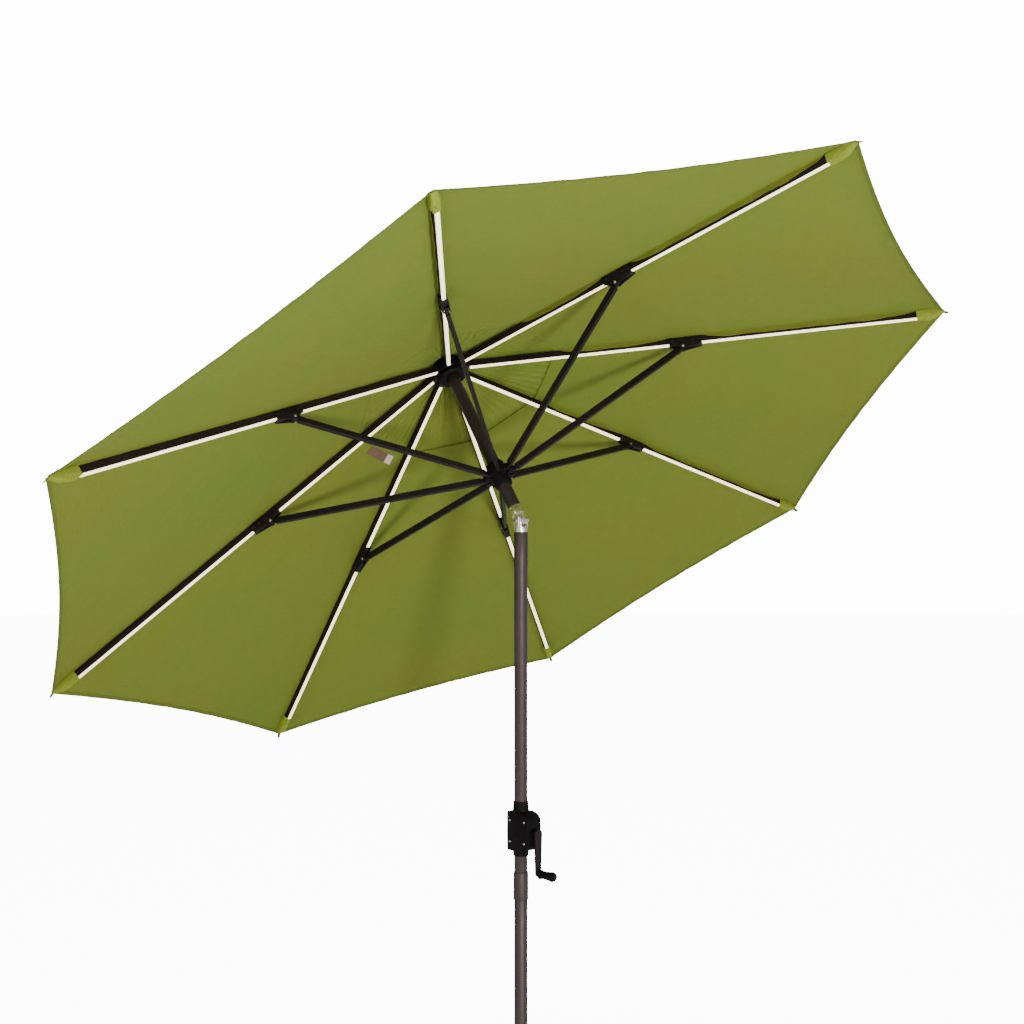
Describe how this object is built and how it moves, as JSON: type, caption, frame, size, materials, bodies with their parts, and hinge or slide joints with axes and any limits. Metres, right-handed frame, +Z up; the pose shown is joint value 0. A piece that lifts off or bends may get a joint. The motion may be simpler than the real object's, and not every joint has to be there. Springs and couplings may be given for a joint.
{
  "type": "tilting market umbrella",
  "caption": "Octagonal patio umbrella with a vented green canopy, light strips under its ribs, a push-button tilt and a crank, shown open and tilted.",
  "frame": {"origin": "centre of the flat foot of the pole, where it stands in its stand", "axes": "+Z up the pole; the tilted mast leans towards +Y, so -Y is the side whose underside is raised; +X along the tilt pin, towards its push-button"},
  "size_m": [2.822, 2.3402, 2.6593],
  "materials": {
    "pole": "bronze powder coat, satin, fine grain",
    "frame": "dark bronze powder coat on ribs, struts and brackets",
    "moulded": "dark moulded nylon, fine texture",
    "knuckle": "polished, lightly worn",
    "steel": "zinc plated wire and pin",
    "canopy": "kiwi green woven polyester",
    "light": "milky diffuser of a lit warm white light strip",
    "solar": "solar cell under clear resin"
  },
  "bodies": {
    "pole": {"foot_plug": "moulded", "pole_lower": "pole", "pole_sleeve": "pole", "pole_middle": "pole", "crank_housing": "moulded", "tilt_knuckle_lower": "knuckle", "tilt_pin": "steel"},
    "mast": {"tilt_knuckle_upper": "knuckle", "pole_upper": "pole", "hub": "moulded", "hub_ring": "steel", "top_pulley": "moulded", "light_ring": "moulded", "solar_cap": "moulded", "solar_panel": "solar", "battery_pack": "moulded", "canopy": "canopy", "canopy_cap": "canopy"},
    "runner": {"runner": "moulded", "runner_ring": "steel"},
    "crank": {"crank_arm": "frame", "crank_spool": "moulded"},
    "knob": {"crank_knob": "moulded"},
    "tilt_button": {"tilt_button": "knuckle"},
    "light_switch": {"light_switch": "moulded"},
    "rib_1": {"rib_1": "frame", "light_strip_1": "light", "bracket_1": "frame"},
    "strut_1": {"strut_1": "frame"},
    "rib_2": {"rib_2": "frame", "light_strip_2": "light", "bracket_2": "frame"},
    "strut_2": {"strut_2": "frame"},
    "rib_3": {"rib_3": "frame", "light_strip_3": "light", "bracket_3": "frame"},
    "strut_3": {"strut_3": "frame"},
    "rib_4": {"rib_4": "frame", "light_strip_4": "light", "bracket_4": "frame"},
    "strut_4": {"strut_4": "frame"},
    "rib_5": {"rib_5": "frame", "light_strip_5": "light", "bracket_5": "frame"},
    "strut_5": {"strut_5": "frame"},
    "rib_6": {"rib_6": "frame", "light_strip_6": "light", "bracket_6": "frame"},
    "strut_6": {"strut_6": "frame"},
    "rib_7": {"rib_7": "frame", "light_strip_7": "light", "bracket_7": "frame"},
    "strut_7": {"strut_7": "frame"},
    "rib_8": {"rib_8": "frame", "light_strip_8": "light", "bracket_8": "frame"},
    "strut_8": {"strut_8": "frame"}
  },
  "joints": [
    {"name": "tilt", "type": "hinge", "parent": "pole", "child": "mast", "pos_m": [0, 0, 1.8], "axis": [1, 0, 0], "range_deg": [0, 34]},
    {"name": "runner_slide", "type": "slide", "parent": "mast", "child": "runner", "axis": [0, -0.5592, -0.829], "range_m": [0, 0.1053]},
    {"name": "rib_hinge_1", "type": "hinge", "parent": "mast", "child": "rib_1", "pos_m": [0, 0.28386, 2.28522], "axis": [1, 0, 0], "range_deg": [0, 4.02]},
    {"name": "strut_hinge_1", "type": "hinge", "parent": "rib_1", "child": "strut_1", "pos_m": [0, -0.37585, 2.43433], "axis": [-1, 0, 0], "range_deg": [0, 9.8]},
    {"name": "rib_hinge_2", "type": "hinge", "parent": "mast", "child": "rib_2", "pos_m": [0.02546, 0.2926, 2.27933], "axis": [0.7071, 0.5862, -0.3954], "range_deg": [0, 4.02]},
    {"name": "strut_hinge_2", "type": "hinge", "parent": "rib_2", "child": "strut_2", "pos_m": [0.47115, -0.21406, 2.3252], "axis": [-0.7071, -0.5862, 0.3954], "range_deg": [0, 9.8]},
    {"name": "rib_hinge_3", "type": "hinge", "parent": "mast", "child": "rib_3", "pos_m": [0.036, 0.31371, 2.26509], "axis": [0, 0.829, -0.5592], "range_deg": [0, 4.02]},
    {"name": "strut_hinge_3", "type": "hinge", "parent": "rib_3", "child": "strut_3", "pos_m": [0.66631, 0.17654, 2.06173], "axis": [0, -0.829, 0.5592], "range_deg": [0, 9.8]},
    {"name": "rib_hinge_4", "type": "hinge", "parent": "mast", "child": "rib_4", "pos_m": [0.02546, 0.33481, 2.25086], "axis": [-0.7071, 0.5862, -0.3954], "range_deg": [0, 4.02]},
    {"name": "strut_hinge_4", "type": "hinge", "parent": "rib_4", "child": "strut_4", "pos_m": [0.47115, 0.56715, 1.79827], "axis": [0.7071, -0.5862, 0.3954], "range_deg": [0, 9.8]},
    {"name": "rib_hinge_5", "type": "hinge", "parent": "mast", "child": "rib_5", "pos_m": [0, 0.34355, 2.24496], "axis": [-1, 0, 0], "range_deg": [0, 4.02]},
    {"name": "strut_hinge_5", "type": "hinge", "parent": "rib_5", "child": "strut_5", "pos_m": [0, 0.72894, 1.68914], "axis": [1, 0, 0], "range_deg": [0, 9.8]},
    {"name": "rib_hinge_6", "type": "hinge", "parent": "mast", "child": "rib_6", "pos_m": [-0.02546, 0.33481, 2.25086], "axis": [-0.7071, -0.5862, 0.3954], "range_deg": [0, 4.02]},
    {"name": "strut_hinge_6", "type": "hinge", "parent": "rib_6", "child": "strut_6", "pos_m": [-0.47115, 0.56715, 1.79827], "axis": [0.7071, 0.5862, -0.3954], "range_deg": [0, 9.8]},
    {"name": "rib_hinge_7", "type": "hinge", "parent": "mast", "child": "rib_7", "pos_m": [-0.036, 0.31371, 2.26509], "axis": [0, -0.829, 0.5592], "range_deg": [0, 4.02]},
    {"name": "strut_hinge_7", "type": "hinge", "parent": "rib_7", "child": "strut_7", "pos_m": [-0.66631, 0.17654, 2.06173], "axis": [0, 0.829, -0.5592], "range_deg": [0, 9.8]},
    {"name": "rib_hinge_8", "type": "hinge", "parent": "mast", "child": "rib_8", "pos_m": [-0.02546, 0.2926, 2.27933], "axis": [0.7071, -0.5862, 0.3954], "range_deg": [0, 4.02]},
    {"name": "strut_hinge_8", "type": "hinge", "parent": "rib_8", "child": "strut_8", "pos_m": [-0.47115, -0.21406, 2.3252], "axis": [-0.7071, 0.5862, -0.3954], "range_deg": [0, 9.8]},
    {"name": "crank_turn", "type": "hinge", "parent": "pole", "child": "crank", "pos_m": [0, -0.07, 0.915], "axis": [0, -1, 0], "range_deg": [0, 483.7]},
    {"name": "knob_spin", "type": "hinge", "parent": "crank", "child": "knob", "pos_m": [0, -0.104, 0.803], "axis": [0, -1, 0], "continuous": true},
    {"name": "tilt_button_press", "type": "slide", "parent": "pole", "child": "tilt_button", "axis": [-1, 0, 0], "range_m": [0, 0.0035], "stiffness_N_per_m": 900},
    {"name": "light_switch_press", "type": "slide", "parent": "mast", "child": "light_switch", "axis": [-1, 0, 0], "range_m": [0, 0.0018], "stiffness_N_per_m": 700}
  ],
  "couplings": [
    {"joint": "rib_hinge_1", "follows": "runner_slide", "rad_per_m": 0.66299},
    {"joint": "strut_hinge_1", "follows": "runner_slide", "rad_per_m": 1.6158},
    {"joint": "rib_hinge_2", "follows": "runner_slide", "rad_per_m": 0.66299},
    {"joint": "strut_hinge_2", "follows": "runner_slide", "rad_per_m": 1.6158},
    {"joint": "rib_hinge_3", "follows": "runner_slide", "rad_per_m": 0.66299},
    {"joint": "strut_hinge_3", "follows": "runner_slide", "rad_per_m": 1.6158},
    {"joint": "rib_hinge_4", "follows": "runner_slide", "rad_per_m": 0.66299},
    {"joint": "strut_hinge_4", "follows": "runner_slide", "rad_per_m": 1.6158},
    {"joint": "rib_hinge_5", "follows": "runner_slide", "rad_per_m": 0.66299},
    {"joint": "strut_hinge_5", "follows": "runner_slide", "rad_per_m": 1.6158},
    {"joint": "rib_hinge_6", "follows": "runner_slide", "rad_per_m": 0.66299},
    {"joint": "strut_hinge_6", "follows": "runner_slide", "rad_per_m": 1.6158},
    {"joint": "rib_hinge_7", "follows": "runner_slide", "rad_per_m": 0.66299},
    {"joint": "strut_hinge_7", "follows": "runner_slide", "rad_per_m": 1.6158},
    {"joint": "rib_hinge_8", "follows": "runner_slide", "rad_per_m": 0.66299},
    {"joint": "strut_hinge_8", "follows": "runner_slide", "rad_per_m": 1.6158},
    {"joint": "crank_turn", "follows": "runner_slide", "rad_per_m": 80}
  ]
}
